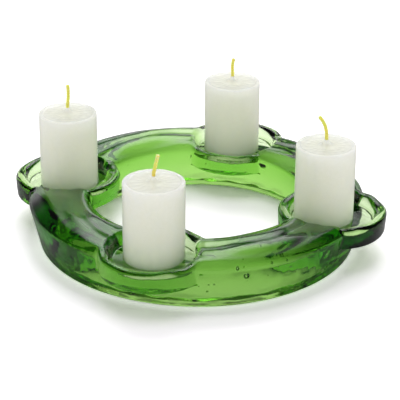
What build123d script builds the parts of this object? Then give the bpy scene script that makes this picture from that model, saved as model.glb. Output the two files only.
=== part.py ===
# Advent candle holder: a cast glass ring with a cup for each of four stub candles.
# Millimetres. The origin is under the middle of the ring, on the table: +Z is up and the front cup is towards -Y.

import os
from math import cos, radians, sin
from build123d import *

# Glass ring, seen as the section that goes round the middle
base_inner_radius = 80.0
base_outer_radius = 108.0
shoulder_inner_radius = 72.0
shoulder_outer_radius = 115.2
shoulder_height = 30.0
crown_height = 39.0
shoulder_round = 2.2
base_round = 2.0

# Candle cups: dishes that bulge out of the ring on both sides
cup_names = ("front", "right", "back", "left")
cup_circle_radius = 94.5
ear_radius = 36.6
ear_draft = 0.9
ear_underside_height = 18.4
lip_width = 8.6
lip_height = 33.4
cup_floor_height = 26.0
cup_floor_radius = 27.2
cup_corner_round = 1.5

# Each hump ends in a rounded rim over its two cups, and rises from there to the crown in an S
rim_wall_radius = 28.2
rim_height = 35.0
rim_round = 1.6
saddle_length = 36.0
saddle_rise_over_crown = 1.0
saddle_start_share = 0.1
saddle_end_share = 0.15

# Candles, each as far from the middle of its cup as it was set down
candle_radius = 20.0
candle_height = 52.8
candle_edge_round = 1.2
candle_base_round = 0.8
candle_rim_width = 1.6
candle_rim_drop = 0.5
candle_shifts = {"front": (-0.4, 2.4), "right": (-5.4, -1.6), "back": (-2.0, -1.6), "left": (1.4, -0.8)}

# The wax nub that the wick stands in
nub_radius = 6.5
nub_height = 4.8
nub_top_radius = 1.7
nub_flank_shares = (0.26, 0.3)

# Waxed wicks, in the order of the cups: the free end of each is two arcs in one upright plane
wick_radius = 1.1
wick_free_length = 14.0
wick_length_shares = (1.0, 1.2, 0.92, 1.13)
wick_first_arc_shares = (0.2, 0.4, 0.3, 0.2)
wick_lean_angles = (17.0, 197.0, 17.0, 17.0)
wick_first_turn_angles = (13.0, 12.0, -4.0, 8.0)
wick_last_turn_angles = (0.0, 34.0, 20.0, -14.0)

# Tin tab that holds the foot of the wick in the base of the candle
tab_radius = 6.0
tab_thickness = 0.4
tab_recess = 0.1
neck_wall = 0.6
neck_height = 4.0
wick_clearance = 0.05
tab_clearance = 0.2

# Every cut runs this far past what it cuts
overrun = 10.0

lip_round = lip_width / 2
lip_spring_height = lip_height - lip_round
lip_crest_radius = ear_radius - lip_round
lip_inner_radius = ear_radius - lip_width
wick_bore_radius = wick_radius + wick_clearance
neck_radius = wick_bore_radius + neck_wall
tab_top = tab_recess + tab_thickness
neck_top = tab_top + neck_height

os.makedirs("parts", exist_ok=True)

# One cup: flat floor, corner, wall, fat round lip, drafted outer face and flat underside
with BuildPart() as dish:
    with BuildSketch(Plane.XZ) as dish_section:
        with BuildLine():
            Polyline(
                (lip_inner_radius, lip_spring_height),
                (cup_floor_radius, cup_floor_height),
                (0, cup_floor_height),
                (0, ear_underside_height),
                (ear_radius - ear_draft, ear_underside_height),
                (ear_radius, lip_spring_height),
            )
            ThreePointArc(
                (ear_radius, lip_spring_height),
                (lip_crest_radius, lip_height),
                (lip_inner_radius, lip_spring_height),
            )
        make_face()
        floor_corner = dish_section.vertices().sort_by_distance((cup_floor_radius, cup_floor_height))[0]
        fillet(floor_corner, radius=cup_corner_round)
    revolve(axis=Axis.Z)

# What the ring gives up to a cup: room for the dish, the rounded rims of the humps, and the S-shaped rise to the crown
rim_crest_radius = rim_wall_radius + rim_round
saddle_high = crown_height + saddle_rise_over_crown
saddle_end_radius = rim_crest_radius + saddle_length
cut_top = crown_height + overrun
cut_bottom = (ear_underside_height + cup_floor_height) / 2
with BuildPart() as cup_cut:
    with BuildSketch(Plane.XZ):
        with BuildLine():
            TangentArc((rim_wall_radius, rim_height - rim_round), (rim_crest_radius, rim_height), tangent=(0, 1))
            Bezier(
                (rim_crest_radius, rim_height),
                (rim_crest_radius + saddle_start_share * saddle_length, rim_height),
                (saddle_end_radius - saddle_end_share * saddle_length, crown_height),
                (saddle_end_radius, saddle_high),
            )
            Polyline(
                (saddle_end_radius, saddle_high),
                (saddle_end_radius, cut_top),
                (0, cut_top),
                (0, cut_bottom),
                (rim_wall_radius, cut_bottom),
                (rim_wall_radius, rim_height - rim_round),
            )
        make_face()
    revolve(axis=Axis.Z)

# The ring: flat base, drafted walls, round shoulders and an arched crown
crown_radius = (shoulder_inner_radius + shoulder_outer_radius) / 2
with BuildPart() as glass_ring:
    with BuildSketch(Plane.XZ) as ring_section:
        with BuildLine():
            Polyline(
                (shoulder_inner_radius, shoulder_height),
                (base_inner_radius, 0),
                (base_outer_radius, 0),
                (shoulder_outer_radius, shoulder_height),
            )
            ThreePointArc(
                (shoulder_outer_radius, shoulder_height),
                (crown_radius, crown_height),
                (shoulder_inner_radius, shoulder_height),
            )
        make_face()
        fillet(ring_section.vertices().group_by(Axis.Y)[0], radius=base_round)
        fillet(ring_section.vertices().group_by(Axis.Y)[-1], radius=shoulder_round)
    revolve(axis=Axis.Z)
    with PolarLocations(cup_circle_radius, len(cup_names), start_angle=-90):
        add(cup_cut.part, mode=Mode.SUBTRACT)
        add(dish.part)
glass_ring.part.label = "glass_ring"
export_step(glass_ring.part, "parts/glass_ring.step")

# A candle, its wick and its tab in each cup
for number, name in enumerate(cup_names):
    cup_angle = radians(-90 + number * 360 / len(cup_names))
    shift_x, shift_y = candle_shifts[name]
    stand_x = cup_circle_radius * cos(cup_angle) + shift_x
    stand_y = cup_circle_radius * sin(cup_angle) + shift_y
    stand = Plane((stand_x, stand_y, cup_floor_height))
    axis = Axis(stand.origin, stand.z_dir)
    section = Plane(stand.origin, x_dir=(1, 0, 0), z_dir=(0, -1, 0))
    face_height = candle_height - candle_rim_drop
    nub_top = face_height + nub_height
    rim_inner_radius = candle_radius - candle_edge_round - candle_rim_width
    flank_mid = (
        nub_top_radius + nub_flank_shares[0] * (nub_radius - nub_top_radius),
        face_height + nub_flank_shares[1] * nub_height,
    )

    # Wax body: rounded edges, a low rim round a sunk top, the nub, and the bore with its seat for the tab
    with BuildPart() as candle:
        with BuildSketch(section) as wax_section:
            with BuildLine():
                ThreePointArc((nub_radius, face_height), flank_mid, (nub_top_radius, nub_top))
                Polyline(
                    (nub_top_radius, nub_top),
                    (wick_bore_radius, nub_top),
                    (wick_bore_radius, neck_top + tab_clearance),
                    (neck_radius + tab_clearance, neck_top + tab_clearance),
                    (neck_radius + tab_clearance, tab_top),
                    (tab_radius + tab_clearance, tab_top),
                    (tab_radius + tab_clearance, 0),
                    (candle_radius, 0),
                    (candle_radius, candle_height),
                    (rim_inner_radius, candle_height),
                    (rim_inner_radius - candle_rim_drop, face_height),
                    (nub_radius, face_height),
                )
            make_face()
            outer_corners = wax_section.vertices().group_by(Axis.X)[-1].sort_by(Axis.Y)
            fillet(outer_corners[0], radius=candle_base_round)
            fillet(outer_corners[-1], radius=candle_edge_round)
        revolve(axis=axis)
    candle.part.label = f"candle_{name}"
    export_step(candle.part, f"parts/candle_{name}.step")

    # Tab: a thin disc with a crimped neck
    with BuildPart() as wick_tab:
        with BuildSketch(section):
            with BuildLine():
                Polyline(
                    (wick_bore_radius, tab_recess),
                    (tab_radius, tab_recess),
                    (tab_radius, tab_top),
                    (neck_radius, tab_top),
                    (neck_radius, neck_top),
                    (wick_bore_radius, neck_top),
                    (wick_bore_radius, tab_recess),
                )
            make_face()
        revolve(axis=axis)
    wick_tab.part.label = f"wick_tab_{name}"
    export_step(wick_tab.part, f"parts/wick_tab_{name}.step")

    # Wick: straight up the bore, then its own bends in one upright plane
    lean = radians(wick_lean_angles[number])
    upright = Plane(stand.origin, x_dir=(cos(lean), sin(lean), 0), z_dir=(sin(lean), -cos(lean), 0))
    free_length = wick_free_length * wick_length_shares[number]
    first_arc_length = free_length * wick_first_arc_shares[number]
    arcs = (
        (first_arc_length, wick_first_turn_angles[number]),
        (free_length - first_arc_length, wick_last_turn_angles[number]),
    )
    with BuildPart() as wick:
        with BuildLine(upright) as wick_path:
            run = Line((0, tab_recess), (0, nub_top))
            for arc_length, turn in arcs:
                if turn:
                    run = JernArc(run @ 1, run % 1, arc_length / radians(abs(turn)), -turn)
                else:
                    run = Line(run @ 1, run @ 1 + run % 1 * arc_length)
        with BuildSketch(Plane(stand.origin + stand.z_dir * tab_recess)):
            Circle(wick_radius)
        sweep(path=wick_path.wires()[0])
    wick.part.label = f"wick_{name}"
    export_step(wick.part, f"parts/wick_{name}.step")
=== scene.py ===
# Advent candle holder: a cast green glass ring with four white stub candles.
import bpy
import numpy as np
import openvdb
from mathutils import Euler, Matrix


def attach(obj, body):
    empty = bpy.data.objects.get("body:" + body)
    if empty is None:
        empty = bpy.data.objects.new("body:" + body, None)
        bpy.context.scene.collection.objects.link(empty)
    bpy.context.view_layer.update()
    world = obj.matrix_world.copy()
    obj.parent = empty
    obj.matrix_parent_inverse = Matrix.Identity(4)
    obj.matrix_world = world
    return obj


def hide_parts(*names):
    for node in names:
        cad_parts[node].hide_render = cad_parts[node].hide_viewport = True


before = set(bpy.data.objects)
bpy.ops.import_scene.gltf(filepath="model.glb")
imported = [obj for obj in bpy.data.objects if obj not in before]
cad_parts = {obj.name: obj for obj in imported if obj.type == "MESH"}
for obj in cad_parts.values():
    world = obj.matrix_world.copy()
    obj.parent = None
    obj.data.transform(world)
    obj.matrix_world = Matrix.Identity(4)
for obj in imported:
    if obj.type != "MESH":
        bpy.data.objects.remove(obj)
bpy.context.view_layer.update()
mm = 0.001
sides = ["front", "right", "back", "left"]
print("frame loaded:", len(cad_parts), "nodes")


# small helpers

def linear(hexColour):
    # sRGB hex to linear, channel by channel
    srgb = np.array([int(hexColour[i:i + 2], 16) for i in (1, 3, 5)]) / 255
    flat = np.where(srgb <= 0.04045, srgb / 12.92, ((srgb + 0.055) / 1.055) ** 2.4)
    return tuple(float(c) for c in flat) + (1.0,)


def addNode(tree, kind, settings=None, inputs=None, links=None):
    # one node with its settings, fixed inputs and incoming links
    node = tree.nodes.new(kind)
    for name, value in (settings or {}).items():
        setattr(node, name, value)
    for name, value in (inputs or {}).items():
        node.inputs[name].default_value = value
    for name, socket in (links or {}).items():
        tree.links.new(socket, node.inputs[name])
    return node


# node settings that come up again and again
rgba = {"data_type": "RGBA"}
smooth = {"interpolation_type": "SMOOTHSTEP"}
multiply = {"operation": "MULTIPLY"}
multiplyAdd = {"operation": "MULTIPLY_ADD"}
dotProduct = {"operation": "DOT_PRODUCT"}


def newMaterial(name):
    material = bpy.data.materials.new(name)
    material.use_nodes = True
    material.node_tree.nodes.clear()
    return material, material.node_tree


def ramp(value, start, end):
    # from 0 at start to 1 at end, level at both
    t = np.clip((value - start) / (end - start), 0, 1)
    return t * t * (3 - 2 * t)


def roundMax(a, b, radius):
    # the larger of two distances, with the edge between them rounded like a fillet of that radius
    u = np.maximum(a + radius, 0)
    v = np.maximum(b + radius, 0)
    return np.minimum(np.maximum(a, b), -radius) + np.hypot(u, v)


def softMin(a, b, width):
    # the smaller of two distances, with the crease between them filled over that width
    h = np.maximum(width - np.abs(a - b), 0) / width
    return np.minimum(a, b) - h * h * width / 4


def softMax(a, b, width):
    # the larger of two distances, with the edge between them worn off over that width
    return -softMin(-a, -b, width)


def meshPiece(name, points, faces, body, material, normals=None):
    # points in millimetres and arrays of faces become a smooth-shaded mesh in metres that rides on its body
    mesh = bpy.data.meshes.new(name)
    mesh.from_pydata((points * mm).tolist(), [], sum((part.tolist() for part in faces), []))
    mesh.polygons.foreach_set("use_smooth", np.ones(len(mesh.polygons), dtype=bool))
    mesh.materials.append(material)
    mesh.update()
    if normals is not None:
        mesh.normals_split_custom_set_from_vertices(normals.tolist())
    piece = bpy.data.objects.new(name, mesh)
    bpy.context.scene.collection.objects.link(piece)
    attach(piece, body)
    return piece


def paintPoints(piece, name, colours):
    # a colour at each point, which the piece's material reads by that name
    layer = piece.data.attributes.new(name, "FLOAT_COLOR", "POINT")
    layer.data.foreach_set("color", colours.astype(np.float32).ravel())


def closedTube(grid, ends):
    # points, quads and end triangles of a tube: rows of points round its axis, and a fan to a middle point
    # at each end
    rows, columns = grid.shape[:2]
    i, j = np.meshgrid(np.arange(rows - 1) * columns, np.arange(columns), indexing="ij")
    k = (j + 1) % columns
    quads = np.stack([i + j, i + k, i + k + columns, i + j + columns], -1).reshape(-1, 4)
    j, k, last, count = j[0], k[0], (rows - 1) * columns, rows * columns
    firstFan = np.stack([k, j, 0 * j + count], -1)
    lastFan = np.stack([j + last, k + last, 0 * j + count + 1], -1)
    return np.concatenate([grid.reshape(-1, 3), ends]), quads, np.concatenate([firstFan, lastFan])


def waves(u, v, seed, count, low, high):
    # soft unevenness from -1 to 1: a sum of sine waves with seeded directions and phases, u and v in radians
    rng = np.random.default_rng(seed)
    crest = 1.6  # the sum seldom goes past this
    total = np.zeros(np.broadcast(u, v).shape)
    for k in range(count):
        m, n = rng.integers(low, high + 1), rng.uniform(-high, high)
        total = total + np.sin(m * u + n * v + rng.uniform(0, 2 * np.pi)) / count ** 0.5
    return np.clip(total / crest, -1, 1)


def flowWaves(p, seed, count, shortest, longest):
    # the same in space: a sum of seeded plane waves with lengths in millimetres
    rng = np.random.default_rng(seed)
    crest = 1.2  # the sum seldom goes past this
    total = np.zeros(p.shape[:-1])
    for k in range(count):
        way = rng.normal(size=3)
        way *= 2 * np.pi / (rng.uniform(shortest, longest) * np.linalg.norm(way))
        total = total + np.sin(p @ way + rng.uniform(0, 2 * np.pi))
    return np.clip(total / (crest * count ** 0.5), -1, 1)


# green glass: bottle-green soda-lime glass, poured and fire-polished.
# Pale where it is thin, deep green down its length, near black where it mirrors the dark side of the room.

greenGlass = {
    "tint": (0.491, 0.787, 0.107),  # the red, green and blue that the glass lets through
    "density": 68.0,
    "ior": 1.51,
    "roughness": 0.0,
    "mirror": 0.9,  # share of the full reflection where one looks square at it
}


def makeGlass(look):
    material, tree = newMaterial("bottleGreenGlassFirePolished")
    surface = addNode(tree, "ShaderNodeBsdfPrincipled", inputs={
        "Base Color": (1, 1, 1, 1), "Roughness": look["roughness"], "IOR": look["ior"],
        "Transmission Weight": 1.0, "Specular Tint": (look["mirror"],) * 3 + (1,)})
    depth = addNode(tree, "ShaderNodeVolumeAbsorption", inputs={
        "Color": look["tint"] + (1,), "Density": look["density"]})
    addNode(tree, "ShaderNodeOutputMaterial", links={
        "Surface": surface.outputs[0], "Volume": depth.outputs[0]})
    return material


# the ring, in millimetres

ring = {
    "baseInner": 80.0, "baseOuter": 108.0, "baseRound": 2.0,
    "shoulderInner": 72.0, "shoulderOuter": 115.2, "shoulderHeight": 30.0, "shoulderRound": 2.2,
    "crown": 39.0, "crownBlend": 2.0,
    "cupCircle": 94.5, "earRadius": 36.6, "earUnderside": 18.4, "earEdge": 1.5,
    "earDraft": 0.9, "draftHeight": 10.7,  # the ear's face leans out by the draft over that height
    "lipHeight": 33.4, "lipRound": 4.3, "lipEdge": 3.4,
    "floorHeight": 26.0, "floorRadius": 27.2, "wallLean": 0.22, "cornerRound": 1.5,
    "rimWall": 28.2, "rimHeight": 35.0, "rimRound": 5.0, "wellFloor": 22.2,
    "saddleStart": 29.8, "saddleLength": 36.0, "saddleOverCrown": 0.8, "saddleEven": 0.6,
    "crease": 1.4,
    "cellSize": 1.2,
}


def ringDistance(p):
    # How far a point lies outside the glass. In the section round the middle, the ring is what lies above the
    # base, within two leaning walls and under an arc that dips to each cup in an S. Round each cup axis, a
    # hollow with a rounded rim is taken out of it, and a dish with a fat lip is added. Every edge is rounded.
    s = ring
    x, y, z = p[..., 0], p[..., 1], p[..., 2]
    r = np.hypot(x, y)
    ax, ay = np.abs(x), np.abs(y)
    q = np.hypot(np.maximum(ax, ay) - s["cupCircle"], np.minimum(ax, ay))  # from the nearest cup's axis

    leanOut = np.array([s["shoulderHeight"], s["shoulderOuter"] - s["baseOuter"]])
    leanIn = np.array([s["shoulderHeight"], s["baseInner"] - s["shoulderInner"]])
    leanOut /= np.hypot(*leanOut)
    leanIn /= np.hypot(*leanIn)
    outerWall = (r - s["baseOuter"]) * leanOut[0] - z * leanOut[1]
    innerWall = (s["baseInner"] - r) * leanIn[0] - z * leanIn[1]

    halfChord = (s["shoulderOuter"] - s["shoulderInner"]) / 2
    rise = s["crown"] - s["shoulderHeight"]
    arcRadius = (halfChord ** 2 + rise ** 2) / (2 * rise)
    arc = np.hypot(r - s["shoulderInner"] - halfChord, z - s["crown"] + arcRadius) - arcRadius
    climb = np.clip((q - s["saddleStart"]) / s["saddleLength"], 0, 1)
    climb = s["saddleEven"] * climb + (1 - s["saddleEven"]) * ramp(climb, 0, 1)
    dip = z - s["rimHeight"] - (s["crown"] + s["saddleOverCrown"] - s["rimHeight"]) * climb
    top = softMax(arc, dip, s["crownBlend"])

    body = roundMax(np.maximum(outerWall, innerWall), top, s["shoulderRound"])
    body = roundMax(body, -z, s["baseRound"])
    well = roundMax(q - s["rimWall"], s["wellFloor"] - z, s["cornerRound"])
    body = roundMax(body, -well, s["rimRound"])

    face = (q - s["earRadius"] + s["earDraft"]) - (z - s["earUnderside"]) * s["earDraft"] / s["draftHeight"]
    ear = roundMax(face, z - s["lipHeight"], s["lipEdge"])
    ear = roundMax(ear, s["earUnderside"] - z, s["earEdge"])
    cupWall = (q - s["floorRadius"]) - (z - s["floorHeight"]) * s["wallLean"]
    hollow = roundMax(cupWall, s["floorHeight"] - z, s["cornerRound"])
    ear = roundMax(ear, -hollow, s["lipRound"])
    return softMin(body, ear, s["crease"])


# the skin of the casting: each kind of mark has its depth and lengths in millimetres, and the heights
# between which it fades in. Streaks are counted by their waves round the ring, and each bend of the ridges
# has its amount, its times round the ring and its phase.

skin = {
    "swell": {"depth": 0.28, "count": 12, "lengths": (16, 44)},
    "chill": {"depth": 0.13, "count": 16, "lengths": (4.5, 9), "upright": 0.35, "fade": (30, 18)},
    "streak": {"depth": 0.2, "count": 14, "turns": (8, 30), "height": 24, "fade": (16, 8)},
    "ridge": {"depth": 0.5, "pitch": 12.5, "bends": [(0.25, 2, 0.7), (0.18, 5, 2.1)], "fade": (24, 32)},
    "baseFade": (0, 5),
    "seed": 7,
}


def castDistance(p):
    # the drawn shape less a little glass: long swells everywhere, finer chill wrinkles and level streaks low
    # on the walls, and shallow ridges along the top that follow the ring; none under the base
    seed = skin["seed"]
    swell, chill, streak, ridge = skin["swell"], skin["chill"], skin["streak"], skin["ridge"]
    x, y, z = p[..., 0], p[..., 1], p[..., 2]
    turn = np.arctan2(y, x)
    upright = np.array([1, 1, chill["upright"]])  # draws the wrinkles out in height
    lane = np.hypot(x, y) / ridge["pitch"]
    for amount, times, phase in ridge["bends"]:
        lane = lane + amount * np.sin(times * turn + phase)
    swells = flowWaves(p, seed, swell["count"], *swell["lengths"])
    wrinkles = flowWaves(p * upright, seed + 1, chill["count"], *chill["lengths"])
    streaks = waves(turn, z / streak["height"], seed + 2, streak["count"], *streak["turns"])
    ridges = np.sin(2 * np.pi * lane)
    taken = swell["depth"] * (0.5 + 0.5 * swells)
    taken = taken + chill["depth"] * (0.5 + 0.5 * wrinkles) * ramp(z, *chill["fade"])
    taken = taken + streak["depth"] * (0.5 + 0.5 * streaks) * ramp(z, *streak["fade"])
    taken = taken + ridge["depth"] * (0.5 + 0.5 * ridges) * ramp(z, *ridge["fade"])
    return ringDistance(p) + taken * ramp(z, *skin["baseFade"])


# bubbles in the glass. A seen one has its angle round the ring in degrees, and in millimetres its height,
# its depth under the outer wall, half its width and half its height.

bubbles = {
    "seen": [
        (-56.6, 22.6, 2.6, 2.0, 2.2), (-60.0, 29.0, 2.0, 1.0, 1.3), (-48.4, 29.4, 2.0, 0.8, 0.8),
        (-42.9, 29.0, 2.0, 0.75, 0.8), (-41.0, 23.5, 2.2, 0.9, 0.8), (-67.4, 18.2, 2.2, 0.7, 0.65),
        (-69.2, 18.0, 2.2, 0.6, 0.5), (-46.0, 26.0, 2.2, 0.5, 0.5), (-24.3, 21.8, 1.8, 1.1, 1.2),
        (-21.5, 19.0, 2.2, 0.6, 0.7), (-49.2, 20.6, 3.0, 0.5, 0.5), (192.2, 8.0, 1.6, 0.6, 0.6),
        (-123.3, 28.5, 1.6, 0.7, 0.7), (-136.5, 17.0, 2.0, 0.45, 0.5),
    ],
    "stray": 46, "tries": 400, "strayRadius": (0.25, 0.62), "strayTallness": (0.8, 1.25),
    "strayReach": (74, 113), "strayHeight": (3, 36),
    "strayCover": 0.6, "cover": 0.3,  # least glass over a bubble
    "rows": 9, "columns": 14, "seed": 5,
}


def makeBubbles():
    # Small closed shells whose faces look into the hollow, away from the glass: the seen ones first, then
    # stray ones scattered by a seeded draw and kept where the glass round them is thick enough.
    s = bubbles
    turn, z, depth, halfWidth, halfHeight = np.array(s["seen"]).T
    turn = np.radians(turn)
    wall = ring["baseOuter"] + (ring["shoulderOuter"] - ring["baseOuter"]) * z / ring["shoulderHeight"]
    r = wall - depth - halfWidth
    seen = np.stack([r * np.cos(turn), r * np.sin(turn), z], -1)

    rng = np.random.default_rng(s["seed"])
    turn = rng.uniform(0, 2 * np.pi, s["tries"])
    r = rng.uniform(*s["strayReach"], s["tries"])
    least, most = s["strayRadius"]
    small = least + (most - least) * rng.random(s["tries"]) ** 2
    z = rng.uniform(*s["strayHeight"], s["tries"])
    stray = np.stack([r * np.cos(turn), r * np.sin(turn), z], -1)
    inside = np.flatnonzero(castDistance(stray) < -small - s["strayCover"])[:s["stray"]]
    stray, small = stray[inside], small[inside]

    centres = np.concatenate([seen, stray])
    wide = np.concatenate([halfWidth, small])
    tall = np.concatenate([halfHeight, small * rng.uniform(*s["strayTallness"], len(small))])
    deep = castDistance(centres) < -np.maximum(wide, tall) - s["cover"]
    centres, wide, tall = centres[deep], wide[deep], tall[deep]

    u = np.linspace(0, np.pi, s["rows"] + 2)[1:-1, None]
    v = np.linspace(0, 2 * np.pi, s["columns"], endpoint=False)[None]
    ball = np.stack([np.sin(u) * np.cos(v), np.sin(u) * np.sin(v), np.cos(u) + 0 * v], -1)
    ball, quads, ends = closedTube(ball, [[0, 0, 1], [0, 0, -1]])
    size = np.stack([wide, wide, tall], -1)
    points = centres[:, None] + ball[None] * size[:, None]
    normals = -ball[None] / size[:, None]
    normals /= np.linalg.norm(normals, axis=-1, keepdims=True)
    first = np.arange(len(centres))[:, None, None] * len(ball)
    faces = [(quads[None] + first).reshape(-1, 4), (ends[None] + first).reshape(-1, 3)]
    print("bubbles:", len(centres))
    return points.reshape(-1, 3), normals.reshape(-1, 3), faces


def castSlope(p):
    # how the distance grows along x, y and z, from a point a little to each side
    h = 0.01
    return np.stack([(castDistance(p + d) - castDistance(p - d)) / (2 * h) for d in np.eye(3) * h], -1)


def makeRing(material):
    # the level zero of the distance, taken off a grid as quads, then each point slid down the slope onto it
    cell = ring["cellSize"]
    margin, nearby = 3 * cell, 4 * cell
    slides, leastSlope = 4, 0.05
    reach = ring["cupCircle"] + ring["earRadius"] + margin
    across = np.arange(-reach, reach, cell)
    up = np.arange(-margin, ring["crown"] + margin, cell)
    spots = np.stack(np.meshgrid(across, across, up, indexing="ij"), -1)
    level = ringDistance(spots)
    near = np.abs(level) < nearby
    level[near] = castDistance(spots[near])
    field = openvdb.FloatGrid()
    field.copyFromArray(level.astype(np.float32))
    points, faces = field.convertToQuads(0.0)
    points = points.astype(float) * cell + spots[0, 0, 0]
    for slide in range(slides):
        slope = castSlope(points)
        steepness = np.maximum((slope ** 2).sum(-1), leastSlope)
        points = points - slope * (castDistance(points) / steepness)[:, None]
    normals = castSlope(points)
    normals /= np.linalg.norm(normals, axis=-1, keepdims=True)
    a, b, c = (points[faces[:, k]] for k in (0, 1, 2))
    if np.einsum("ij,ij->", a, np.cross(b, c)) < 0:  # a negative volume means that the faces look inwards
        faces = faces[:, ::-1]
    print("ring:", len(points), "points, box", points.min(0).round(2), points.max(0).round(2))

    holes, holeNormals, holeFaces = makeBubbles()
    faces = [faces] + [part + len(points) for part in holeFaces]
    points, normals = np.concatenate([points, holes]), np.concatenate([normals, holeNormals])
    piece = meshPiece("castGlassRing", points, faces, "holder", material, normals)
    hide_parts("glass_ring")


makeRing(makeGlass(greenGlass))


# wax candles, in millimetres above the floor of the cup

candle = {
    "radius": 20.0, "height": 52.8, "edgeRound": 1.2, "baseRound": 0.8, "rimWidth": 1.6, "rimDrop": 0.5,
    "nubRadius": 6.5, "nubTop": 1.3, "nubHeight": 4.8,
    "nubDrawn": 4.1, "nubFlank": 0.45, "nubWobble": 0.25,  # drawn a little lower than the wick's first bend
    "seatRadius": 6.2, "seatTop": 0.5, "neckRadius": 1.95, "neckTop": 4.7,
    "petals": 0.44, "petalPairs": 9, "petalBend": 0.10, "petalEdge": 0.6,
    "chips": 0.42, "chipInset": 0.12,
    "wrinkles": 0.12, "wrinkleHeight": 47.5, "wrinkleSpread": 4.0,
    "columns": 192, "rows": {"nub": 18, "top": 30, "slope": 9, "edge": 10, "wall": 64, "foot": 7},
    "shifts": {"front": (-0.4, 2.4), "right": (-5.4, -1.6), "back": (-2.0, -1.6), "left": (1.4, -0.8)},
    "seeds": {"front": 11, "right": 23, "back": 37, "left": 41},
}


def standOf(side):
    # the middle of a candle's foot: round the ring by quarters from the front, then off the cup's middle
    turn = np.radians(-90 + 90 * sides.index(side))
    out, (shiftX, shiftY) = ring["cupCircle"], candle["shifts"][side]
    return np.array([out * np.cos(turn) + shiftX, out * np.sin(turn) + shiftY, ring["floorHeight"]])


def candleProfile():
    # Radius and height from the tip of the nub over the sunk top, the rim, the side and the base to the end
    # of the tab's seat. The nub's flank falls in a smooth step over a power of the way out, and the round
    # edges are quarter circles.
    s, rows = candle, candle["rows"]
    face = s["height"] - s["rimDrop"]
    rimInner = s["radius"] - s["edgeRound"] - s["rimWidth"]
    tip = face + s["nubDrawn"]
    pin = 0.1  # radius of the first and last row, next to the axis

    t = np.linspace(0, 1, rows["nub"])
    flankHeight = face + s["nubDrawn"] * (1 - ramp(t ** s["nubFlank"], 0, 1))
    flank = np.stack([s["nubTop"] + (s["nubRadius"] - s["nubTop"]) * t, flankHeight], -1)
    nub = np.concatenate([[[pin, tip], [0.8, tip]], flank])
    r = np.linspace(s["nubRadius"] + 0.35, rimInner - 1.0, rows["top"])
    top = np.stack([r, np.full_like(r, face)], -1)
    t = np.linspace(0, 1, rows["slope"])
    slope = np.stack([rimInner - 0.6 + 1.2 * t, face + s["rimDrop"] * ramp(t, 0, 1)], -1)

    t = np.linspace(0, np.pi / 2, rows["edge"])
    edgeHeight = s["height"] - s["edgeRound"] * (1 - np.cos(t))
    edge = np.stack([s["radius"] - s["edgeRound"] * (1 - np.sin(t)), edgeHeight], -1)
    z = np.linspace(s["height"] - s["edgeRound"] - 0.5, s["baseRound"] + 0.5, rows["wall"])
    wall = np.stack([np.full_like(z, s["radius"]), z], -1)
    t = np.linspace(0, np.pi / 2, rows["foot"])
    foot = np.stack([s["radius"] - s["baseRound"] * (1 - np.cos(t)), s["baseRound"] * (1 - np.sin(t))], -1)

    # the base and the tab's seat, with a few rows on their flat stretches
    seat, neck = s["seatTop"], s["neckTop"]
    under = np.array([
        (16, 0), (12, 0), (8, 0), (s["seatRadius"], 0), (s["seatRadius"], seat), (4, seat),
        (s["neckRadius"], seat), (s["neckRadius"], neck), (pin, neck)], float)
    return np.concatenate([nub, top, slope, edge, wall, foot, under])


def makeCandle(side, material):
    # The profile turned round its axis. The top gets shallow pressed petals between nub and rim, the rim
    # small chips, and the side faint wrinkles under the rim. These only take wax away; the nub wobbles both
    # ways.
    s = candle
    seed = s["seeds"][side]
    profile = candleProfile()[::-1]
    r, z = profile[:, :1], profile[:, 1:]
    v = np.linspace(0, 2 * np.pi, s["columns"], endpoint=False)[None]

    # where each mark belongs
    face = s["height"] - s["rimDrop"]
    rimInner = s["radius"] - s["edgeRound"] - s["rimWidth"]
    onTop = ramp(z, face - 0.6, face - 0.1)
    pastNub = ramp(r, s["nubRadius"] - 1.5, s["nubRadius"] + 1.5)
    between = pastNub * ramp(r, rimInner + 0.3, rimInner - 1.3) * onTop
    onRim = ramp(r, rimInner - 0.8, rimInner + 0.4) * onTop
    onWall = ramp(r, s["radius"] - 1.3, s["radius"] - 0.4) * ramp(z, 0, 2)
    onNub = ramp(z, face, face + 1.2) * (r < s["nubRadius"])
    nearTop = np.exp(-((z - s["wrinkleHeight"]) / s["wrinkleSpread"]) ** 2)

    # the marks themselves
    bent = v + s["petalBend"] * waves(v, r / 5, seed, count=5, low=1, high=3)
    swing = bent * s["petalPairs"] + 0.5 * waves(v, r / 9, seed + 1, count=4, low=1, high=4)
    petal = np.abs(np.sin(swing)) ** s["petalEdge"]
    wander = 0.5 + 0.5 * waves(v, r / 4, seed + 2, count=8, low=2, high=7)
    pressed = 0.25 + 0.75 * (1 - petal) * wander + 0.35 * wander
    chip = np.clip(waves(v, r / 6, seed + 3, count=9, low=3, high=17), 0, 1) ** 2
    uneven = 0.35 + 0.65 * nearTop * waves(v, z / 2.2, seed + 4, count=7, low=1, high=6)
    wobble = waves(v, z, seed + 5, count=5, low=1, high=4)

    height = z - between * s["petals"] * pressed - onRim * s["chips"] * chip
    radius = r - onWall * s["wrinkles"] * (0.5 + 0.5 * uneven) - onRim * s["chipInset"] * chip
    radius = radius + onNub * s["nubWobble"] * wobble
    grid = np.stack([radius * np.cos(v), radius * np.sin(v), height], -1)
    points, quads, fans = closedTube(grid, [[0, 0, profile[0, 1]], [0, 0, profile[-1, 1]]])
    points = points + standOf(side)
    name = "waxCandle" + side.title()
    piece = meshPiece(name, points, [quads, fans], side + "_candle", material)
    # the mask for the painted shade that greys the sunk top
    sunk = ramp(r, s["radius"] - 1.0, s["radius"] - 1.8) * onTop  # the top within its rim
    sunk = np.append(np.broadcast_to(sunk, radius.shape), [0, 0])
    paintPoints(piece, "paintedTopShade", np.stack([sunk, sunk, sunk, np.ones_like(sunk)], -1))
    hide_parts("candle_" + side)
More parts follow.
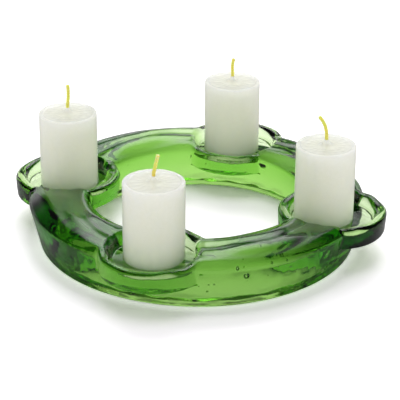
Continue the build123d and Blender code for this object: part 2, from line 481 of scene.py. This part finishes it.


# paraffin wax, pressed from powder: milky and satin, light sinks deep in, fine crystals show as faint
# mottling. Painted shade: the foot a little darker and warmer, greener-yellow as if lit by the green glass
# below, and the sunk top a little greyer than the rest.

wax = {
    "pale": "#F5F5E7", "deep": "#EDEEDC", "crystal": 2.2 * mm, "roughness": 0.24, "ior": 1.44,
    "sink": 45 * mm, "sinkRadius": (1.0, 0.95, 0.82),
    # foot: painted shade and green light, the wax darker and greener-yellow low down
    "foot": "#F0F1DC", "footShadeBottom": 20 * mm, "footShadeTop": 72 * mm,  # heights above the table
    # face: painted shade, the sunk top greyed so that it reads no brighter than the side
    "face": "#DCDDD1",
    "grain": 0.10, "grainHeight": 0.4 * mm,
}


def makeWax(look):
    material, tree = newMaterial("paraffinWaxSatin")
    place = addNode(tree, "ShaderNodeTexCoord")
    cloud = addNode(
        tree, "ShaderNodeTexNoise", inputs={"Scale": 1 / look["crystal"], "Detail": 4.0, "Roughness": 0.6},
        links={"Vector": place.outputs["Object"]})
    colour = addNode(
        tree, "ShaderNodeMix", rgba, {6: linear(look["deep"]), 7: linear(look["pale"])},
        {0: cloud.outputs[0]})
    height = addNode(tree, "ShaderNodeSeparateXYZ", links={0: place.outputs["Object"]})
    # painted shade and green light towards the foot, by height above the table
    low = addNode(tree, "ShaderNodeMapRange", smooth, {
        "From Min": look["footShadeBottom"], "From Max": look["footShadeTop"], "To Min": 1.0, "To Max": 0.0,
    }, {"Value": height.outputs["Z"]})
    colour = addNode(
        tree, "ShaderNodeMix", rgba, {7: linear(look["foot"])}, {0: low.outputs[0], 6: colour.outputs[2]})
    # painted shade on the sunk top within its rim
    sunk = addNode(tree, "ShaderNodeAttribute", {"attribute_name": "paintedTopShade"})
    colour = addNode(
        tree, "ShaderNodeMix", rgba, {7: linear(look["face"])},
        {0: sunk.outputs["Fac"], 6: colour.outputs[2]})
    bump = addNode(
        tree, "ShaderNodeBump", inputs={"Strength": look["grain"], "Distance": look["grainHeight"]},
        links={"Height": cloud.outputs[0]})
    surface = addNode(tree, "ShaderNodeBsdfPrincipled", inputs={
        "Roughness": look["roughness"], "IOR": look["ior"], "Subsurface Weight": 1.0,
        "Subsurface Radius": look["sinkRadius"], "Subsurface Scale": look["sink"],
    }, links={"Base Color": colour.outputs[2], "Normal": bump.outputs[0]})
    addNode(tree, "ShaderNodeOutputMaterial", links={"Surface": surface.outputs[0]})
    return material


waxMaterial = makeWax(wax)
for side in sides:
    makeCandle(side, waxMaterial)
print("candles:", len(sides))


# wicks: plaited cotton dipped in yellow wax. Lists are in the order of the sides, angles in degrees.

wick = {
    "radius": 1.25, "freeLength": 14.0, "foot": 0.1, "tipRound": 0.5, "tipLeast": 0.02,
    "strandPitch": 1.9, "strandEdge": 1.5, "plait": 0.16,
    "columns": 28, "rowStep": 0.11, "hiddenRows": 40, "hiddenEnd": -1, "pathSteps": 2000,
    "lengths": (1.0, 1.2, 0.92, 1.13), "firstShare": (0.2, 0.4, 0.3, 0.2), "lean": (17, 197, 17, 17),
    "firstTurn": (13, 12, -4, 8), "lastTurn": (0, 34, 20, -14),
    # groove: painted shade in the grooves between the strands
    "yarn": "#FBF680", "grooveShade": "#E9DB5C", "grooveShare": 0.7, "grooveEdge": 0.8,
    "gold": "#F4D262", "goldShare": (0.45, 0.2, 0.1, 0.1), "goldEnd": 2 / 3,
    "tip": "#F8F2A8", "tipShare": (0.9, 0.0, 0.15, 0.0), "tipStart": 3 / 13,
}


def stainAndShade(hue, hexColour, share):
    # that share of another colour laid over each point's own
    return hue + share[..., None] * (np.array(linear(hexColour)) - hue)


def makeWick(number, material):
    # A round tube along an upright run and two arcs, its skin raised in two crossing families of strands.
    # The heading turns evenly along each arc; the path is the running sum of its sine and cosine.
    s = wick
    side = sides[number]
    top = candle["height"] - candle["rimDrop"] + candle["nubHeight"]
    free = s["freeLength"] * s["lengths"][number]
    first = free * s["firstShare"][number]
    hidden = np.linspace(s["foot"] - top, s["hiddenEnd"], s["hiddenRows"], endpoint=False)
    along = np.concatenate([hidden, np.arange(s["hiddenEnd"], free, s["rowStep"]), [free]])

    fine = np.linspace(0, free, s["pathSteps"])
    turn = np.radians(s["firstTurn"][number]) * np.clip(fine / first, 0, 1)
    turn = turn + np.radians(s["lastTurn"][number]) * np.clip((fine - first) / (free - first), 0, 1)
    step = fine[1]
    outPath = np.concatenate([[0], np.cumsum((np.sin(turn[1:]) + np.sin(turn[:-1])) / 2 * step)])
    upPath = np.concatenate([[0], np.cumsum((np.cos(turn[1:]) + np.cos(turn[:-1])) / 2 * step)])
    heading = np.interp(along, fine, turn)[:, None]
    out = np.interp(along, fine, outPath)[:, None]
    up = (np.where(along < 0, along, np.interp(along, fine, upPath)) + top)[:, None]

    v = np.linspace(0, 2 * np.pi, s["columns"], endpoint=False)[None]
    w = along[:, None]
    twist = np.pi * w / s["strandPitch"]
    strand = np.maximum(np.abs(np.cos(v + twist)), np.abs(np.cos(v - twist)))
    pastEnd = ((w - free + s["tipRound"]) / s["tipRound"]).clip(0, 1)
    end = np.sqrt(np.clip(1 - pastEnd ** 2, s["tipLeast"], 1))
    radius = s["radius"] * (1 - s["plait"] * (1 - strand ** s["strandEdge"])) * end
    lean = np.radians(s["lean"][number])
    towards = np.array([np.cos(lean), np.sin(lean), 0])
    aside = np.array([-np.sin(lean), np.cos(lean), 0])
    upwards = np.array([0, 0, 1])
    across = np.cos(heading) * towards - np.sin(heading) * upwards
    centre = out * towards + up * upwards + standOf(side)
    spoke = np.cos(v)[..., None] * across[:, None] + np.sin(v)[..., None] * aside
    points, quads, fans = closedTube(centre[:, None] + radius[..., None] * spoke, centre[[0, -1]])

    share = np.clip(w / free, 0, 1) + 0 * v
    hue = np.broadcast_to(np.array(linear(s["yarn"])), share.shape + (4,))
    hue = stainAndShade(hue, s["gold"], s["goldShare"][number] * (1 - ramp(share, 0, s["goldEnd"])))
    hue = stainAndShade(hue, s["tip"], s["tipShare"][number] * ramp(share, s["tipStart"], 1))
    # painted shade in the grooves between the strands
    hue = stainAndShade(hue, s["grooveShade"], s["grooveShare"] * (1 - strand) ** s["grooveEdge"])
    hue = np.concatenate([hue.reshape(-1, 4), hue[0, :1], hue[-1, :1]])
    name = "plaitedWick" + side.title()
    piece = meshPiece(name, points, [quads, fans], side + "_candle", material)
    paintPoints(piece, "yarnColourAndGrooveShade", hue)
    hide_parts("wick_" + side)


# waxed cotton: soft sheen, strands paler than the painted shade in the grooves between them, light goes a
# little way in

cotton = {
    "roughness": 0.55, "ior": 1.45, "sheen": 0.15,
    "through": 0.9, "sink": 2 * mm, "sinkRadius": (1.0, 0.8, 0.3),
}


def makeCotton(look):
    material, tree = newMaterial("waxedCottonPlait")
    dye = addNode(tree, "ShaderNodeAttribute", {"attribute_name": "yarnColourAndGrooveShade"})
    surface = addNode(tree, "ShaderNodeBsdfPrincipled", inputs={
        "Roughness": look["roughness"], "IOR": look["ior"], "Sheen Weight": look["sheen"],
        "Subsurface Weight": look["through"], "Subsurface Radius": look["sinkRadius"],
        "Subsurface Scale": look["sink"],
    }, links={"Base Color": dye.outputs["Color"]})
    addNode(tree, "ShaderNodeOutputMaterial", links={"Surface": surface.outputs[0]})
    return material


# tinned steel, stamped: grey metal with a soft gloss and faint mottling about half a millimetre wide

tin = {"dark": "#B9BABB", "light": "#D3D3D0", "mottle": 0.5 * mm, "roughness": (0.28, 0.44)}


def makeTinplate(look):
    material, tree = newMaterial("tinplateStamped")
    place = addNode(tree, "ShaderNodeTexCoord")
    mottle = addNode(
        tree, "ShaderNodeTexNoise", inputs={"Scale": 1 / look["mottle"], "Detail": 2.0},
        links={"Vector": place.outputs["Object"]})
    colour = addNode(
        tree, "ShaderNodeMix", rgba, {6: linear(look["dark"]), 7: linear(look["light"])},
        {0: mottle.outputs[0]})
    rough = addNode(
        tree, "ShaderNodeMapRange", inputs={"To Min": look["roughness"][0], "To Max": look["roughness"][1]},
        links={"Value": mottle.outputs[0]})
    surface = addNode(
        tree, "ShaderNodeBsdfPrincipled", inputs={"Metallic": 1.0},
        links={"Base Color": colour.outputs[2], "Roughness": rough.outputs[0]})
    addNode(tree, "ShaderNodeOutputMaterial", links={"Surface": surface.outputs[0]})
    return material


cottonMaterial, tinplate = makeCotton(cotton), makeTinplate(tin)
for number, side in enumerate(sides):
    makeWick(number, cottonMaterial)
    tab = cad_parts["wick_tab_" + side]
    tab.data.materials.clear()
    tab.data.materials.append(tinplate)
print("wicks and tabs:", len(sides), "each")


# the table. A colour over 1 goes to camera rays alone and makes the lit table plain white in the picture.

stage = {
    "floorSize": 8.0,
    "drop": 0.15 * mm,  # a hair of air under the base, so that the glass mirrors there as on a real table
    # mirrorWhite greys the table in mirrored rays: a painted shade on its reflection in the glass
    "white": 0.93, "mirrorWhite": 0.43, "cameraWhite": (1.48, 1.43, 1.50),
    # glow through the glass fades to none towards the ring: a painted shade under and round it
    "glowInGlass": (0.0, 0.33), "glowFrom": 85 * mm, "glowTo": 150 * mm,
    # a painted rim of light on the table round the base, for camera rays
    "rim": 0.34, "rimFrom": 106 * mm, "rimTo": 117 * mm,
}


def makeStage(look):
    # A white table, greyer in mirrored rays, a painted shade on its reflection in the glass. Through the
    # glass it glows, more so further out, which leaves a painted shade under and near the ring; and round the
    # base it gets a painted rim of light, standing in for the light that the glass throws out.
    material, tree = newMaterial("whiteTable")
    path = addNode(tree, "ShaderNodeLightPath").outputs
    place = addNode(tree, "ShaderNodeTexCoord")
    out = addNode(tree, "ShaderNodeVectorMath", {"operation": "LENGTH"}, links={0: place.outputs["Object"]})

    # painted shade: the table greyer as the glass mirrors it
    mirrored = addNode(
        tree, "ShaderNodeMath", multiply, links={0: path["Is Reflection Ray"], 1: path["Is Glossy Ray"]})
    shade = addNode(
        tree, "ShaderNodeMath", multiplyAdd, {1: look["mirrorWhite"] - look["white"], 2: look["white"]},
        {0: mirrored.outputs[0]})
    white = addNode(
        tree, "ShaderNodeMix", rgba, {7: look["cameraWhite"] + (1,)},
        {0: path["Is Camera Ray"], 6: shade.outputs[0]})
    paint = addNode(tree, "ShaderNodeBsdfDiffuse", links={"Color": white.outputs[2]})

    through = addNode(
        tree, "ShaderNodeMath", {"operation": "MAXIMUM"},
        links={0: path["Is Glossy Ray"], 1: path["Is Transmission Ray"]})
    direct = addNode(
        tree, "ShaderNodeMath", {"operation": "SUBTRACT", "use_clamp": True},
        links={0: through.outputs[0], 1: mirrored.outputs[0]})
    # painted shade: the glow through the glass fades towards the ring
    around = addNode(tree, "ShaderNodeMapRange", inputs={
        "From Min": look["glowFrom"], "From Max": look["glowTo"],
        "To Min": look["glowInGlass"][0], "To Max": look["glowInGlass"][1],
    }, links={"Value": out.outputs["Value"]})
    inGlass = addNode(
        tree, "ShaderNodeMath", multiply, links={0: direct.outputs[0], 1: around.outputs[0]})

    # painted rim of light round the base, seen by the camera
    fade = addNode(tree, "ShaderNodeMapRange", smooth, {
        "From Min": look["rimFrom"], "From Max": look["rimTo"], "To Min": look["rim"], "To Max": 0.0,
    }, {"Value": out.outputs["Value"]})
    beside = addNode(
        tree, "ShaderNodeMath", {"operation": "GREATER_THAN"}, {1: look["rimFrom"]},
        {0: out.outputs["Value"]})
    seen = addNode(
        tree, "ShaderNodeMath", multiply, links={0: path["Is Camera Ray"], 1: beside.outputs[0]})
    strength = addNode(
        tree, "ShaderNodeMath", multiplyAdd,
        links={0: fade.outputs[0], 1: seen.outputs[0], 2: inGlass.outputs[0]})
    glow = addNode(
        tree, "ShaderNodeEmission", inputs={"Color": (1, 1, 1, 1)}, links={"Strength": strength.outputs[0]})
    both = addNode(tree, "ShaderNodeAddShader", links={0: paint.outputs[0], 1: glow.outputs[0]})
    addNode(tree, "ShaderNodeOutputMaterial", links={"Surface": both.outputs[0]})

    half, low = look["floorSize"] / 2, -look["drop"]
    corners = [(-half, -half, low), (half, -half, low), (half, half, low), (-half, half, low)]
    mesh = bpy.data.meshes.new("tableTop")
    mesh.from_pydata(corners, [], [(0, 1, 2, 3)])
    mesh.materials.append(material)
    floor = bpy.data.objects.new("tableTop", mesh)
    bpy.context.scene.collection.objects.link(floor)


# the room round the table: places are unit directions, heights their z, and edges their dot products

room = {
    "backdrop": 1.0, "backdropTop": 0.40, "behind": (-0.288, 0.958, 0.0), "behindEdge": (0.5, 0.95),
    "ceiling": 0.2, "ceilingFrom": 0.62, "mirrorCeiling": 0.05, "mirrorDrop": 0.22,
    "veil": 3.4, "veilFrom": (-0.11, 0.63, 0.766), "veilEdge": (0.87, 0.99),
    "fillLow": 1.05, "fillHigh": 0.22,
}


def makeWorld(look):
    # A white backdrop behind the object that darkens upwards into the room. Mirrored rays see it end lower,
    # and a bright veil high behind. Matt surfaces get a dome of light, strongest at the horizon. The camera
    # itself sees plain white.
    world = bpy.data.worlds.new("studio")
    world.use_nodes = True
    tree = world.node_tree
    tree.nodes.clear()
    path = addNode(tree, "ShaderNodeLightPath").outputs
    way = addNode(tree, "ShaderNodeTexCoord").outputs["Generated"]
    height = addNode(tree, "ShaderNodeSeparateXYZ", links={0: way}).outputs["Z"]
    mirrored = addNode(
        tree, "ShaderNodeMath", multiply,
        links={0: path["Is Reflection Ray"], 1: path["Is Glossy Ray"]}).outputs[0]

    rise = addNode(
        tree, "ShaderNodeMath", multiplyAdd, {1: look["mirrorDrop"]}, {0: mirrored, 2: height})
    low = addNode(tree, "ShaderNodeMapRange", smooth, {
        "From Min": look["backdropTop"], "From Max": look["ceilingFrom"], "To Min": 1.0, "To Max": 0.0,
    }, {"Value": rise.outputs[0]})
    facing = addNode(tree, "ShaderNodeVectorMath", dotProduct, {1: look["behind"]}, {0: way})
    behind = addNode(
        tree, "ShaderNodeMapRange", smooth,
        {"From Min": look["behindEdge"][0], "From Max": look["behindEdge"][1]},
        {"Value": facing.outputs["Value"]})
    wall = addNode(tree, "ShaderNodeMath", multiply, links={0: low.outputs[0], 1: behind.outputs[0]})
    ceiling = addNode(
        tree, "ShaderNodeMath", multiplyAdd,
        {1: look["mirrorCeiling"] - look["ceiling"], 2: look["ceiling"]}, {0: mirrored})
    level = addNode(
        tree, "ShaderNodeMapRange", inputs={"To Max": look["backdrop"]},
        links={"Value": wall.outputs[0], "To Min": ceiling.outputs[0]})

    above = addNode(tree, "ShaderNodeVectorMath", dotProduct, {1: look["veilFrom"]}, {0: way})
    veil = addNode(tree, "ShaderNodeMapRange", smooth, {
        "From Min": look["veilEdge"][0], "From Max": look["veilEdge"][1], "To Max": look["veil"],
    }, {"Value": above.outputs["Value"]})
    level = addNode(
        tree, "ShaderNodeMath", multiplyAdd, links={0: veil.outputs[0], 1: mirrored, 2: level.outputs[0]})

    matt = addNode(
        tree, "ShaderNodeMath", {"operation": "GREATER_THAN"}, {1: 0.5}, {0: path["Diffuse Depth"]})
    dome = addNode(
        tree, "ShaderNodeMapRange", inputs={"To Min": look["fillLow"], "To Max": look["fillHigh"]},
        links={"Value": height})
    fill = addNode(tree, "ShaderNodeMath", multiply, links={0: matt.outputs[0], 1: dome.outputs[0]})
    level = addNode(
        tree, "ShaderNodeMath", {"operation": "MAXIMUM"}, links={0: level.outputs[0], 1: fill.outputs[0]})

    studio = addNode(
        tree, "ShaderNodeBackground", inputs={"Color": (1, 1, 1, 1)}, links={"Strength": level.outputs[0]})
    white = addNode(tree, "ShaderNodeBackground", inputs={"Color": (1, 1, 1, 1), "Strength": 1.0})
    pick = addNode(
        tree, "ShaderNodeMixShader",
        links={0: path["Is Camera Ray"], 1: studio.outputs[0], 2: white.outputs[0]})
    addNode(tree, "ShaderNodeOutputWorld", links={"Surface": pick.outputs[0]})
    bpy.context.scene.world = world


# the camera: degrees, millimetres, and the focal length in pixels of a picture this wide

camera = {
    "azimuth": 16.74, "elevation": 24.97, "roll": 0.45,
    "distance": 1105.09, "aside": 2.05, "height": 25.08,
    "focalPixels": 1608.3, "pictureWidth": 400, "sensor": 36.0,
}


def makeCamera(look):
    data = bpy.data.cameras.new("camera")
    data.sensor_width = look["sensor"]
    data.lens = look["focalPixels"] * look["sensor"] / look["pictureWidth"]
    turn, tilt = np.radians(look["azimuth"]), np.radians(look["elevation"])
    ahead = np.array([-np.sin(turn) * np.cos(tilt), np.cos(turn) * np.cos(tilt), -np.sin(tilt)])
    aim = np.array([np.cos(turn) * look["aside"], np.sin(turn) * look["aside"], look["height"]])
    level = Euler((np.pi / 2 - tilt, 0, turn)).to_matrix()
    eye = bpy.data.objects.new("camera", data)
    eye.location = (aim - ahead * look["distance"]) * mm
    eye.rotation_euler = (level @ Matrix.Rotation(np.radians(look["roll"]), 3, "Z")).to_euler()
    bpy.context.scene.collection.objects.link(eye)
    bpy.context.scene.camera = eye


# softboxes, in metres and watts. The one behind isn't seen through the glass, where it would sparkle.

lamps = {
    "softboxBehind": {"place": (-0.48, 1.6, 2.0), "size": (2.4, 1.1), "power": 30.0, "throughGlass": False},
    "softboxAbove": {"place": (0, 0, 2.6), "size": (1.4, 1.4), "power": 16.0, "throughGlass": True},
}


def addLamp(name, look):
    # aimed at the middle of the table, and not mirrored in the glass
    data = bpy.data.lights.new(name, "AREA")
    data.shape = "RECTANGLE"
    data.size, data.size_y = look["size"]
    data.energy = look["power"]
    lamp = bpy.data.objects.new(name, data)
    lamp.visible_glossy = False
    lamp.visible_transmission = look["throughGlass"]
    lamp.location = look["place"]
    aim = np.zeros(3) - np.array(look["place"])
    aim /= np.linalg.norm(aim)
    lamp.rotation_euler = (np.arccos(-aim[2]), 0, np.arctan2(-aim[0], aim[1]))
    bpy.context.scene.collection.objects.link(lamp)


makeStage(stage)
makeWorld(room)
makeCamera(camera)
for name, look in lamps.items():
    addLamp(name, look)
bpy.context.scene.view_settings.view_transform = "Standard"
print("stage set:", len(lamps), "lamps")
